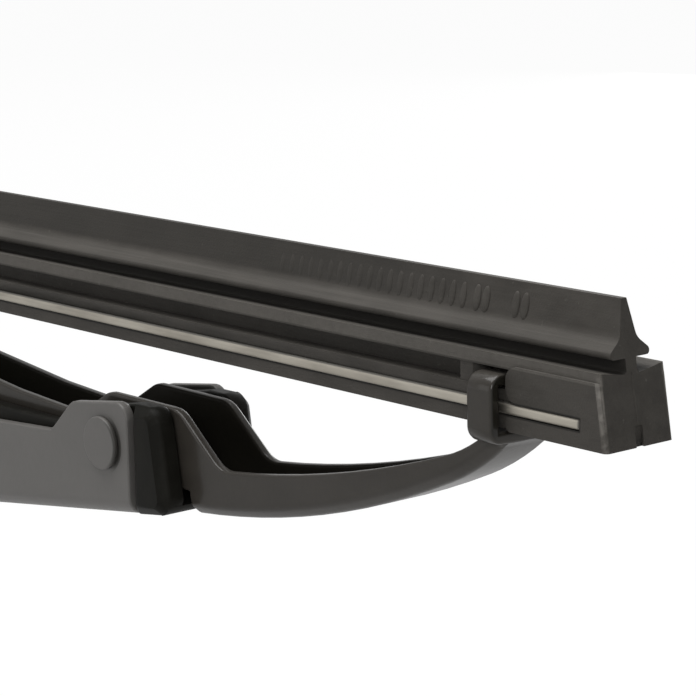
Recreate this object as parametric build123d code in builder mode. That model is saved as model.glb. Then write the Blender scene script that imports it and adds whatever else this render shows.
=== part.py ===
from build123d import *
import os
from math import asin, atan2, cos, degrees, hypot, radians, sin, sqrt, tan

# Framed wiper blade, lip up: X runs along the blade, Y across it, Z towards the lip.
# The origin is the middle of the tube that takes the wiper arm's pin. Lengths in mm.

# Whole blade
blade_length = 330.0
base_height = 16.5          # base of the rubber above the arm pin
end_rake = 9.0              # the end faces lean back towards the lip, degrees

# Rubber, from its base to the tip of the lip
strip_lift = 0.15           # the strip's base stands this much above the end blocks' base
lower_flange = 1.1
middle_flange = 0.9
upper_flange = 1.05
claw_groove = 1.6
head_width = 6.6
ledge_width = 6.4           # middle flange, set in a little
claw_web = 3.2
neck_width = 1.1
neck_height = 0.75
neck_fillet = 0.3
gutter_drop = 0.45          # the head's top falls from its rims to the neck
shoulder_width = 4.0
shoulder_edge = 0.5
shoulder_round = 0.32
wedge_height = 0.9
crease_width = 1.76
crease_round = 1.2
lip_height = 2.9
lip_tip = 0.53
block_length = 10.6
block_width = 7.0
block_corner = 1.2
block_edge = 0.4
block_step = 0.7            # top of the end blocks below the head's rims
lobe_corner = 0.5
stop_length = 2.8
stop_width = 6.2
stop_bevel = 0.7
gate_width = 0.8
gate_height = 1.6
gate_depth = 0.25

# Stainless rails in the rubber's side grooves
rail_thick = 0.9
rail_width = 2.15
rail_slack = 0.03
rail_setback = 2.75         # solid rubber beyond the end of each rail
rail_edge = 0.3             # radius of the rolled edges

# Yokes, folded from sheet, with a claw at each end
yoke_sheet = 0.95
yoke_width = 6.2
yoke_bevel = 0.8            # bevel of the fold along the spine
claw_span = 96.5            # claw to claw
claw_width = 2.8
claw_bend = 1.25
claw_slack = 0.25           # from claw to end block and to stop, and above the ledge
claw_side_gap = 0.3
claw_under_gap = 0.3
claw_reach_gap = 0.4
spine_depth = 5.74          # spine below the pivot
arm_depth = 4.3             # spine to edge, at the middle
arm_end_depth = 2.3         # the same where the tips bend up
arm_tip_depth = 1.64        # the same at the claws
tip_run = 7.3               # length of the upward bend at each end
tip_lift = 1.3              # rise of the bend out of the spine's own curve
ear_height = 3.8
ear_front = 7.8
ear_back = 2.8
ear_front_foot = 13.6
ear_front_reach = 18.0
ear_shelf = 1.1             # edge of the deeper inner arm above the pivot
ear_shelf_rise = 0.6
ear_shelf_start = 7.5
ear_shelf_end = 18.0
ear_back_foot = 36.0
ear_radius = 3.0
gap_front = 9.6             # the spine is open round the pivot
gap_front_top = 9.0         # the opening's front leans with the collar
gap_back = 12.8
gap_rise = 2.4              # from spine to the lower edge of the open part
gap_foot = 2.2
gap_margin = 1.8            # sheet left under the rivet's hole

# Pivots between bridge and yokes
pivot_drop = 8.8            # pivot below the rubber's base
rivet_radius = 1.5
rivet_head_radius = 2.4
rivet_head_height = 0.5
fixed_fit = 0.03
running_fit = 0.05

# Main bridge
bridge_sheet = 1.0
bridge_width = 11.4
bridge_bend = 1.6
bridge_depth = 6.55         # back of the bridge below the pivot
bridge_overhang = 3.7       # bridge beyond the pivot
bridge_slope = 8.0          # of its straight end parts, degrees
bridge_flat = 25.0
bridge_radius = 320.0
bridge_ear_height = 4.2     # above the pivot, at the bridge's end
bridge_ear_back = 4.9
bridge_ear_slope = 3.5
bridge_ear_radius = 1.6
wall_at_ear = -0.2          # wall edge above the pivot, beside the ear
wall_at_middle = 5.2        # wall edge above the arm pin
wall_rise_start = 62.0
window_front = 13.0
window_back = 29.0
window_corner = 2.0

# Moulded liners
liner_wall_gap = 0.05
liner_side_gap = 0.1
liner_floor = 0.5
liner_back = 24.0
liner_shelf = 0.35          # top of the liner's tail above the pivot
liner_reach = 8.8
liner_top_reach = 7.3
liner_top_drop = 0.25       # collar below the top of the bridge's ear
liner_collar_gap = 0.05
liner_collar_step = 0.1
liner_collar_floor = 0.65
liner_corner = 1.6
liner_edge = 0.8
liner_top_step = 0.3

# Arm tube and hook clip
arm_pin_radius = 2.38125    # a 3/16 inch side pin
arm_pin_clearance = 0.06
tube_wall = 0.75
tube_rim = 0.8
tube_rim_thick = 0.5
clip_thick = 9.0            # inside width of the arm's hook
clip_side_gap = 0.4
clip_tail = 22.0
clip_mouth = 5.0
clip_lug_start = 12.0
clip_lug_length = 4.0
clip_lug_height = 1.8
clip_wall = 1.5
clip_pocket_start = 6.5
clip_edge = 0.5

# Levels of the rubber above its base
rail_groove = rail_thick + 2 * rail_slack
rail_web = block_width - 2 * (rail_width + rail_slack)
lower_top = strip_lift + lower_flange
ledge_bottom = lower_top + rail_groove
ledge_top = ledge_bottom + middle_flange
upper_bottom = ledge_top + claw_groove
head_top = upper_bottom + upper_flange
gutter = head_top - gutter_drop
block_top = head_top - block_step
neck_top = head_top + neck_height
shoulder_top = neck_top + shoulder_edge
crease = shoulder_top + wedge_height
lip_top = crease + lip_height

# Places along and across the blade
half_length = blade_length / 2
claw_from_end = block_length + claw_slack + claw_width / 2
pivot_x = half_length - claw_from_end - claw_span / 2
pivot_z = base_height - pivot_drop
bridge_inside = bridge_width / 2 - bridge_sheet
tube_bore = arm_pin_radius + arm_pin_clearance
tube_radius = tube_bore + tube_wall
claw_half_width = block_width / 2 + claw_side_gap + yoke_sheet
claw_plate_top = base_height + strip_lift - claw_under_gap
finger_bottom = base_height + ledge_top + claw_slack

sides = (("right", 1), ("left", -1))

os.makedirs("parts", exist_ok=True)


def side_plane(side, x=0.0, z=0.0):
    """Upright plane along the blade: local x points outwards on that side, local y to the lip."""
    return Plane(origin=(side * x, 0, z), x_dir=(side, 0, 0), z_dir=(0, -side, 0))


def flat_plane(side, x=0.0, z=0.0):
    """Level plane seen from the lip, with local x pointing outwards on that side."""
    return Plane(origin=(side * x, 0, z), x_dir=(side, 0, 0), z_dir=(0, 0, 1))


def spine_edges(part):
    """Long edges of the faces that look away from the lip."""
    backs = part.faces().filter_by(lambda face: face.normal_at().Z < -0.3)
    return backs.edges().filter_by(lambda edge: abs(edge.tangent_at(0.5).Y) < 0.5)


# Wiper rubber: one moulding, with a head for the rails and claws, a thin neck and a lip
head_levels = (
    (strip_lift, lower_top, head_width),
    (lower_top, ledge_bottom, rail_web),
    (ledge_bottom, ledge_top, ledge_width),
    (ledge_top, upper_bottom, claw_web),
    (gutter, neck_top, neck_width),
    (neck_top, shoulder_top, shoulder_width),
)
end_plane = Plane(
    origin=(half_length, 0, base_height),
    x_dir=(0, 1, 0),
    z_dir=(cos(radians(end_rake)), 0, sin(radians(end_rake))),
)
far_end_plane = Plane(
    origin=(-half_length, 0, base_height),
    x_dir=(0, -1, 0),
    z_dir=(-cos(radians(end_rake)), 0, sin(radians(end_rake))),
)
with BuildPart() as wiper_rubber:
    with BuildSketch(Plane.YZ.offset(-half_length)) as strip:
        for bottom, top, width in head_levels:
            with Locations((0, base_height + (bottom + top) / 2)):
                Rectangle(width, top - bottom)
        # Upper flange, whose top is a gutter on each side of the neck
        with BuildLine():
            Polyline(
                (0, base_height + gutter),
                (neck_width / 2, base_height + gutter),
                (head_width / 2, base_height + head_top),
                (head_width / 2, base_height + upper_bottom),
                (0, base_height + upper_bottom),
            )
            mirror(about=Plane.YZ)
        make_face()
        # Wedge and lip
        with BuildLine():
            Polyline(
                (0, base_height + shoulder_top),
                (shoulder_width / 2, base_height + shoulder_top),
                (crease_width / 2, base_height + crease),
                (lip_tip / 2, base_height + lip_top),
                (0, base_height + lip_top),
            )
            mirror(about=Plane.YZ)
        make_face()
        roots = strip.vertices().filter_by(
            lambda corner: abs(abs(corner.X) - neck_width / 2) < 0.01
        )
        fillet(roots.filter_by(lambda corner: corner.Y < base_height + neck_top), neck_fillet)
        rims = strip.vertices().filter_by(
            lambda corner: abs(abs(corner.X) - shoulder_width / 2) < 0.01
        )
        fillet(rims, shoulder_round)
        creases = strip.vertices().filter_by(
            lambda corner: abs(corner.Y - base_height - crease) < 0.01
        )
        fillet(creases, crease_round)
    extrude(amount=blade_length)
    for name, side in sides:
        # End block: two lobes with the rail's slot between them, joined by a solid nose
        with BuildSketch(side_plane(side, half_length, base_height)) as block:
            Rectangle(block_length, lower_top, align=(Align.MAX, Align.MIN))
            with Locations((0, ledge_bottom)):
                Rectangle(block_length, block_top - ledge_bottom, align=(Align.MAX, Align.MIN))
            lobe_corners = block.vertices().group_by(Axis.X)[0].sort_by(Axis.Y)
            fillet(lobe_corners[:2], lobe_corner)
            fillet(lobe_corners[2:], block_corner)
            Rectangle(rail_setback, block_top, align=(Align.MAX, Align.MIN))
        extrude(amount=block_width / 2, both=True)
        # Stop that keeps the claw against the block
        with BuildSketch(flat_plane(side, half_length, base_height + ledge_top)) as stop:
            with Locations((-claw_from_end - (claw_width + stop_length) / 2 - claw_slack, 0)):
                Rectangle(stop_length, stop_width)
            chamfer(stop.vertices(), stop_bevel)
        extrude(amount=claw_groove)
    split(bisect_by=end_plane, keep=Keep.BOTTOM)
    split(bisect_by=far_end_plane, keep=Keep.BOTTOM)
    end_edges = wiper_rubber.edges().filter_by(
        lambda edge: abs(edge.center().X) > half_length - rail_setback / 2
        and abs(abs(edge.center().Y) - block_width / 2) < 0.01
        and abs(edge.tangent_at(0.5).Z) > 0.9
    )
    fillet(end_edges, block_edge)
    # Mark of the moulding gate at the foot of each end face
    for plane in (end_plane, far_end_plane):
        with BuildSketch(plane):
            Rectangle(gate_width, gate_height, align=(Align.CENTER, Align.MIN))
        extrude(amount=-gate_depth, mode=Mode.SUBTRACT)
wiper_rubber.part.label = "wiper_rubber"
export_step(wiper_rubber.part, "parts/wiper_rubber.step")

# Rails: flat strips with rolled edges, flush with the sides of the end blocks
rail_length = blade_length - 2 * (rail_setback + rail_slack)
rail_bottom = base_height + lower_top + rail_slack
for name, across in (("near", -1), ("far", 1)):
    with BuildPart() as rail:
        with BuildSketch(Plane.YZ.offset(-rail_length / 2)):
            with Locations((across * (block_width - rail_width) / 2, rail_bottom + rail_thick / 2)):
                RectangleRounded(rail_width, rail_thick, rail_edge)
        extrude(amount=rail_length)
    rail.part.label = f"rail_{name}"
    export_step(rail.part, f"parts/rail_{name}.step")

# Yoke outline, measured from its pivot
claw_bottom = claw_plate_top - yoke_sheet - pivot_z
tip_x = (claw_span + claw_width) / 2
tip_z = claw_bottom + yoke_sheet / 2
bend_x = tip_x - tip_run


def arc_radius(run, rise):
    """Radius of an arc that starts level and rises over a run."""
    return (run**2 + rise**2) / (2 * rise)


spine_radius = arc_radius(tip_x, tip_z + spine_depth - tip_lift)
spine_turn = asin(bend_x / spine_radius)
spine_rise = spine_radius * (1 - cos(spine_turn))
edge_radius = arc_radius(bend_x, spine_rise + arm_end_depth - arm_depth)
edge_turn = asin(bend_x / edge_radius)
tip_rise = tip_z + spine_depth - spine_rise
tip_lean = atan2(tip_rise, tip_run) - spine_turn
tip_radius = hypot(tip_run, tip_rise) / (2 * sin(tip_lean))
tip_turn = degrees(2 * tip_lean)


def spine_line(inset):
    """Draw half of the yoke's spine, set in from its back, from the middle to the claw."""
    run = JernArc((0, inset - spine_depth), (1, 0), spine_radius - inset, degrees(spine_turn))
    return JernArc(run @ 1, run % 1, tip_radius - inset, tip_turn)


def edge_line(tip):
    """Draw half of the arm's edge, from the middle to a point at the claw."""
    run = JernArc((0, arm_depth - spine_depth), (1, 0), edge_radius, degrees(edge_turn))
    return TangentArc(run @ 1, tip, tangent=run % 1)


def arm_at(x, share):
    """Height in the yoke's arm at a distance from the pivot, from its spine (0) to its edge (1)."""
    spine = spine_radius - sqrt(spine_radius**2 - x**2)
    edge = edge_radius - sqrt(edge_radius**2 - x**2) + arm_depth
    return spine + (edge - spine) * share - spine_depth


for name, side in sides:
    # Space inside the folded channel
    with BuildPart() as channel:
        with BuildSketch(side_plane(side, pivot_x, pivot_z)):
            with BuildLine():
                bend = spine_line(yoke_sheet)
                Polyline(bend @ 1, ((bend @ 1).X, 2 * tip_z), (0, 2 * tip_z))
                mirror(about=Plane.YZ)
            make_face()
        extrude(amount=yoke_width / 2 - yoke_sheet, both=True)

    with BuildPart() as yoke:
        with BuildSketch(side_plane(side, pivot_x, pivot_z)):
            with BuildLine():
                back = spine_line(0)
                tip = back @ 1 + (back % 1).rotate(Axis.Z, 90) * arm_tip_depth
                edge_line(tip)
                Line(back @ 1, tip)
                mirror(about=Plane.YZ)
            make_face()
            with BuildLine():
                FilletPolyline(
                    (-ear_back_foot, arm_at(ear_back_foot, 1)),
                    (-ear_shelf_end, ear_shelf + ear_shelf_rise),
                    (-ear_shelf_start, ear_shelf),
                    (-ear_back, ear_height),
                    (ear_front, ear_height),
                    (ear_front_foot, arm_at(ear_front_foot, 1)),
                    (ear_front_reach, arm_at(ear_front_reach, 1)),
                    radius=ear_radius,
                )
                Polyline(
                    (ear_front_reach, arm_at(ear_front_reach, 1)),
                    (ear_front_reach / 2, arm_at(ear_front_reach / 2, 0.5)),
                    (-ear_back_foot / 2, arm_at(ear_back_foot / 2, 0.5)),
                    (-ear_back_foot, arm_at(ear_back_foot, 1)),
                )
            make_face()
            with Locations((0, tip_z)):
                Rectangle(4 * tip_x, tip_x, align=(Align.CENTER, Align.MIN), mode=Mode.SUBTRACT)
        extrude(amount=yoke_width / 2, both=True)
        chamfer(spine_edges(yoke), yoke_bevel)
        add(channel.part, mode=Mode.SUBTRACT)
        # Open part of the spine, where the bridge's end and its liner pass
        with BuildSketch(side_plane(side, pivot_x, pivot_z)):
            with BuildLine():
                Polyline(
                    (-gap_foot, -rivet_radius - gap_margin),
                    (gap_foot, -rivet_radius - gap_margin),
                    (gap_front_top, gap_rise - spine_depth),
                    (gap_front, -spine_depth),
                    (gap_front, -2 * spine_depth),
                    (-gap_back, -2 * spine_depth),
                    (-gap_back, gap_rise - spine_depth),
                    close=True,
                )
            make_face()
        extrude(amount=yoke_width, both=True, mode=Mode.SUBTRACT)
        with BuildSketch(side_plane(side, pivot_x, pivot_z)):
            Circle(rivet_radius + running_fit)
        extrude(amount=yoke_width, both=True, mode=Mode.SUBTRACT)
        # Claws: bands folded round the rubber's head, with their fingers in its grooves
        for end in (1, -1):
            claw_middle = side * pivot_x + end * claw_span / 2
            with BuildSketch(Plane.YZ.offset(claw_middle - claw_width / 2)):
                band_bottom = claw_plate_top - yoke_sheet
                band_top = finger_bottom + yoke_sheet
                with Locations((0, (band_bottom + band_top) / 2)):
                    RectangleRounded(2 * claw_half_width, band_top - band_bottom, claw_bend)
                with Locations((0, (claw_plate_top + finger_bottom) / 2)):
                    Rectangle(
                        2 * (claw_half_width - yoke_sheet),
                        finger_bottom - claw_plate_top,
                        mode=Mode.SUBTRACT,
                    )
                with Locations((0, finger_bottom)):
                    Rectangle(claw_web + 2 * claw_reach_gap, 2 * yoke_sheet, mode=Mode.SUBTRACT)
            extrude(amount=claw_width)
    yoke.part.label = f"yoke_{name}"
    export_step(yoke.part, f"parts/yoke_{name}.step")

# Main bridge: back line from the flat middle through a bend to the straight sloping ends
slope = radians(bridge_slope)
bend_end = bridge_flat + bridge_radius * sin(slope)
bend_rise = bridge_radius * (1 - cos(slope))
bridge_end = pivot_x + bridge_overhang
bridge_back = pivot_z - bridge_depth - (pivot_x - bend_end) * tan(slope) - bend_rise
bridge_top = pivot_z + bridge_ear_height


def back_line(inset, reach):
    """Draw half of the bridge's back, set in by a wall, out to a distance along the blade."""
    flat = Line((0, bridge_back + inset), (bridge_flat, bridge_back + inset))
    run = JernArc(flat @ 1, (1, 0), bridge_radius - inset, bridge_slope)
    rest = reach - (run @ 1).X
    return Line(run @ 1, run @ 1 + Vector(rest, rest * tan(slope)))


with BuildPart() as bridge_channel:
    with BuildSketch(Plane.XZ):
        with BuildLine():
            back = back_line(bridge_sheet, bridge_end + bridge_overhang)
            Polyline(back @ 1, ((back @ 1).X, 2 * bridge_top), (0, 2 * bridge_top))
            mirror(about=Plane.YZ)
        make_face()
    extrude(amount=bridge_inside, both=True)

with BuildPart() as main_bridge:
    with BuildSketch(Plane.XZ):
        with BuildLine():
            back = back_line(0, bridge_end)
            ear_start = pivot_x - bridge_ear_back
            FilletPolyline(
                back @ 1,
                (bridge_end, bridge_top),
                (ear_start, bridge_top - (bridge_end - ear_start) * tan(slope)),
                (ear_start - bridge_ear_slope, pivot_z + wall_at_ear),
                (wall_rise_start, wall_at_middle),
                (0, wall_at_middle),
                radius=bridge_ear_radius,
            )
            mirror(about=Plane.YZ)
        make_face()
    extrude(amount=bridge_width / 2, both=True)
    fillet(spine_edges(main_bridge), bridge_bend)
    add(bridge_channel.part, mode=Mode.SUBTRACT)
    # Window in the back for the arm's hook
    with BuildSketch(Plane.XY.offset(bridge_back - bridge_sheet)) as window:
        with Locations(((window_back - window_front) / 2, 0)):
            Rectangle(window_front + window_back, 2 * bridge_inside)
        chamfer(window.vertices(), window_corner)
    extrude(amount=2 * bridge_sheet + bridge_bend, mode=Mode.SUBTRACT)
    for name, side in sides:
        with BuildSketch(side_plane(side, pivot_x, pivot_z)):
            Circle(rivet_radius + fixed_fit)
        extrude(amount=bridge_width, both=True, mode=Mode.SUBTRACT)
    with BuildSketch(Plane.XZ):
        Circle(tube_radius + fixed_fit)
    extrude(amount=bridge_width, both=True, mode=Mode.SUBTRACT)
main_bridge.part.label = "main_bridge"
export_step(main_bridge.part, "parts/main_bridge.step")

# Liners: moulded channels inside the bridge's ends, with a collar standing out of each end
liner_inside = yoke_width / 2 + liner_side_gap
liner_half = bridge_inside - liner_wall_gap
collar_start = bridge_overhang + liner_collar_gap
collar_half = bridge_width / 2 - liner_collar_step
collar_top = bridge_ear_height - liner_top_drop


def back_at(x, inset):
    """Height of the bridge's back at a distance from the pivot, set in along the height."""
    return -bridge_depth + x * tan(slope) + inset / cos(slope)


def ear_top_at(x):
    """Height of the bridge's ear, whose top runs along its back, at a distance from the pivot."""
    return bridge_ear_height - (bridge_overhang - x) * tan(slope)


for name, side in sides:
    with BuildPart() as liner:
        plane = side_plane(side, pivot_x, pivot_z)
        under = bridge_sheet + liner_wall_gap
        with BuildSketch(plane):
            with BuildLine():
                Polyline(
                    (collar_start, back_at(collar_start, under)),
                    (collar_start, ear_top_at(collar_start) - liner_top_step),
                    (bridge_ear_radius - bridge_ear_back, ear_top_at(-bridge_ear_back) - liner_top_step),
                    (-bridge_ear_back - bridge_ear_slope, liner_shelf),
                    (-liner_back, liner_shelf),
                    (-liner_back, back_at(-liner_back, under)),
                    close=True,
                )
            make_face()
        extrude(amount=liner_half, both=True)
        with BuildSketch(plane):
            with BuildLine():
                FilletPolyline(
                    (collar_start, collar_top),
                    (liner_top_reach, collar_top),
                    (liner_reach, back_at(liner_reach, 0)),
                    (collar_start, back_at(collar_start, 0)),
                    radius=liner_corner,
                )
                Line((collar_start, back_at(collar_start, 0)), (collar_start, collar_top))
            make_face()
        extrude(amount=collar_half, both=True)
        rims = liner.edges().filter_by(lambda edge: abs(abs(edge.center().Y) - collar_half) < 0.01)
        chamfer(rims, liner_edge)
        with BuildSketch(plane):
            with BuildLine():
                Polyline(
                    (-2 * liner_back, back_at(-2 * liner_back, under + liner_floor)),
                    (collar_start, back_at(collar_start, under + liner_floor)),
                    (liner_reach, back_at(liner_reach, liner_collar_floor)),
                    (2 * liner_reach, back_at(liner_reach, liner_collar_floor)),
                    (2 * liner_reach, 2 * bridge_ear_height),
                    (-2 * liner_back, 2 * bridge_ear_height),
                    close=True,
                )
            make_face()
        extrude(amount=liner_inside, both=True, mode=Mode.SUBTRACT)
        with BuildSketch(plane):
            Circle(rivet_radius + fixed_fit)
        extrude(amount=bridge_width, both=True, mode=Mode.SUBTRACT)
    liner.part.label = f"pivot_liner_{name}"
    export_step(liner.part, f"parts/pivot_liner_{name}.step")

# Pivot rivets, set over on both sides of the bridge
for name, side in sides:
    with BuildPart() as rivet:
        with BuildSketch(flat_plane(side, pivot_x, pivot_z)):
            with BuildLine():
                shank = Line((rivet_radius, 0), (rivet_radius, bridge_width / 2))
                Polyline(
                    shank @ 1,
                    (rivet_head_radius, bridge_width / 2),
                    (rivet_head_radius, bridge_width / 2 + rivet_head_height),
                    (0, bridge_width / 2 + rivet_head_height),
                    (0, 0),
                )
                mirror(about=Plane.XZ)
            make_face()
        revolve(axis=Axis((side * pivot_x, 0, pivot_z), (0, 1, 0)))
    rivet.part.label = f"pivot_rivet_{name}"
    export_step(rivet.part, f"parts/pivot_rivet_{name}.step")

# Arm tube: a hollow rivet with its ends set over the bridge's walls
with BuildPart() as pivot_tube:
    with BuildSketch(Plane.XY):
        with BuildLine():
            Polyline(
                (tube_bore, 0),
                (tube_radius, 0),
                (tube_radius, bridge_width / 2),
                (tube_radius + tube_rim, bridge_width / 2),
                (tube_radius + tube_rim, bridge_width / 2 + tube_rim_thick),
                (tube_bore, bridge_width / 2 + tube_rim_thick),
                close=True,
            )
        make_face()
        mirror(about=Plane.XZ)
    revolve(axis=Axis.Y)
pivot_tube.part.label = "pivot_tube"
export_step(pivot_tube.part, "parts/pivot_tube.step")

# Hook clip: snaps onto the tube through its mouth, and the arm's hook closes round its nose
clip_half = bridge_inside - clip_side_gap
nose = clip_thick / 2
with BuildPart() as arm_adapter:
    with BuildSketch(Plane.XZ):
        with BuildLine():
            Line((0, -nose), (clip_tail, -nose))
            Polyline(
                (clip_tail, -nose),
                (clip_tail, nose),
                (clip_lug_start + clip_lug_length, nose),
                (clip_lug_start + clip_lug_length, nose + clip_lug_height),
                (clip_lug_start, nose),
                (0, nose),
            )
            CenterArc((0, 0), nose, 90, 180)
        make_face()
    extrude(amount=clip_half, both=True)
    long_sides = arm_adapter.faces().filter_by(Axis.Y).edges()
    chamfer(long_sides.filter_by(GeomType.LINE).filter_by(Axis.X), clip_edge)
    with BuildSketch(Plane.XZ):
        Circle(tube_radius + running_fit)
        Rectangle(clip_mouth, 2 * nose, align=(Align.CENTER, Align.MIN))
    extrude(amount=bridge_width, both=True, mode=Mode.SUBTRACT)
    with BuildSketch(Plane.XZ):
        with Locations((clip_pocket_start, 0)):
            Rectangle(clip_tail, clip_thick - 2 * clip_wall, align=(Align.MIN, Align.CENTER))
    extrude(amount=clip_half - clip_wall, both=True, mode=Mode.SUBTRACT)
arm_adapter.part.label = "arm_adapter"
export_step(arm_adapter.part, "parts/arm_adapter.step")
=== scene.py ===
"""Dresses the framed wiper blade: painted steel, moulded rubber, stainless rails and black mouldings."""

import logging
import math
from collections.abc import Callable
from dataclasses import dataclass, field
from enum import Enum

import bmesh
import bpy
from mathutils import Matrix, Vector


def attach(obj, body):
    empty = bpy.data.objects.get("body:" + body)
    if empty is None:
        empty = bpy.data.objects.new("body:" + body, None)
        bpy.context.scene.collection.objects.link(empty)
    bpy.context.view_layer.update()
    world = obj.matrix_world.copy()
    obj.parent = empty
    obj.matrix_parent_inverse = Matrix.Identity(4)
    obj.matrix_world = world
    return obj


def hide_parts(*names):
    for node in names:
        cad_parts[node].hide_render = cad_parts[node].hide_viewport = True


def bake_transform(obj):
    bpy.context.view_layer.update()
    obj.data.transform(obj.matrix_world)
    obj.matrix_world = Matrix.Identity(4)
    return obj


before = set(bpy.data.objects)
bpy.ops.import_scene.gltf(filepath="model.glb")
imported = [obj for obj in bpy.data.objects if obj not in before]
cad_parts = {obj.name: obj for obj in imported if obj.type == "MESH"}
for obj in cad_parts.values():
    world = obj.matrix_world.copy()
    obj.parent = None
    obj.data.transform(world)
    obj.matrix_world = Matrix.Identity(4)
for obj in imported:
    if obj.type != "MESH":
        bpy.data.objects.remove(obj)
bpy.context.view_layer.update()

MM = 0.001
STRIP_END = 165.0 * MM
STRIP_BASE = 16.5 * MM
END_RAKE = math.radians(9.0)
RAIL_LEVEL = 18.23 * MM
log = logging.getLogger("wiper_blade")

Colour = tuple[float, float, float]
Point = tuple[float, float, float]
Span = tuple[float, float]


class Side(Enum):
    """The two halves of the blade, by the sign of X."""

    RIGHT = 1
    LEFT = -1

    @property
    def word(self) -> str:
        """The side's name in lower case."""
        return self.name.lower()

    @property
    def yoke_body(self) -> str:
        """The CAD body of the yoke on this side."""
        return f"yoke_{self.word}"


class Flank(Enum):
    """The two long sides of the blade, by the sign of Y."""

    NEAR = -1
    FAR = 1

    @property
    def word(self) -> str:
        """The flank's name in lower case."""
        return self.name.lower()


class Sock:
    """A value in a shader tree that takes part in Python arithmetic."""

    def __init__(self, sheet: "ShaderSheet", socket: bpy.types.NodeSocket) -> None:
        """Keeps the socket and the sheet that it belongs to."""
        self.sheet = sheet
        self.socket = socket

    def _math(self, operation: str, left: "Sock | float", right: "Sock | float") -> "Sock":
        """Adds one Math node.

        Args:
            operation: the Math node's operation.
            left: the first value.
            right: the second value.

        Returns:
            The node's result.
        """
        node = self.sheet.node("ShaderNodeMath", {"operation": operation}, {0: left, 1: right})
        return self.sheet.read(node, 0)

    def __add__(self, other: "Sock | float") -> "Sock":
        """Sum."""
        return self._math("ADD", self, other)

    def __radd__(self, other: float) -> "Sock":
        """Sum with a number on the left."""
        return self._math("ADD", other, self)

    def __sub__(self, other: "Sock | float") -> "Sock":
        """Difference."""
        return self._math("SUBTRACT", self, other)

    def __rsub__(self, other: float) -> "Sock":
        """Difference with a number on the left."""
        return self._math("SUBTRACT", other, self)

    def __mul__(self, other: "Sock | float") -> "Sock":
        """Product."""
        return self._math("MULTIPLY", self, other)

    def __rmul__(self, other: float) -> "Sock":
        """Product with a number on the left."""
        return self._math("MULTIPLY", other, self)

    def __neg__(self) -> "Sock":
        """The value with its sign turned."""
        return self._math("MULTIPLY", self, -1.0)

    def __abs__(self) -> "Sock":
        """The value without its sign."""
        return self._math("ABSOLUTE", self, 0.0)

    def smooth(self, low: float, high: float) -> "Sock":
        """Runs smoothly from 0 to 1.

        Args:
            low: the value that gives 0.
            high: the value that gives 1.

        Returns:
            The eased value, held between 0 and 1.
        """
        node = self.sheet.node(
            "ShaderNodeMapRange",
            {"interpolation_type": "SMOOTHSTEP"},
            {"Value": self, "From Min": low, "From Max": high},
        )
        return self.sheet.read(node, 0)

    def within(self, low: float, high: float, soft: float) -> "Sock":
        """One between two values, with soft limits.

        Args:
            low: the lower limit.
            high: the upper limit.
            soft: half of the width over which each limit fades.

        Returns:
            The mask, from 0 to 1.
        """
        return self.smooth(low - soft, low + soft) * (1.0 - self.smooth(high - soft, high + soft))


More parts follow.
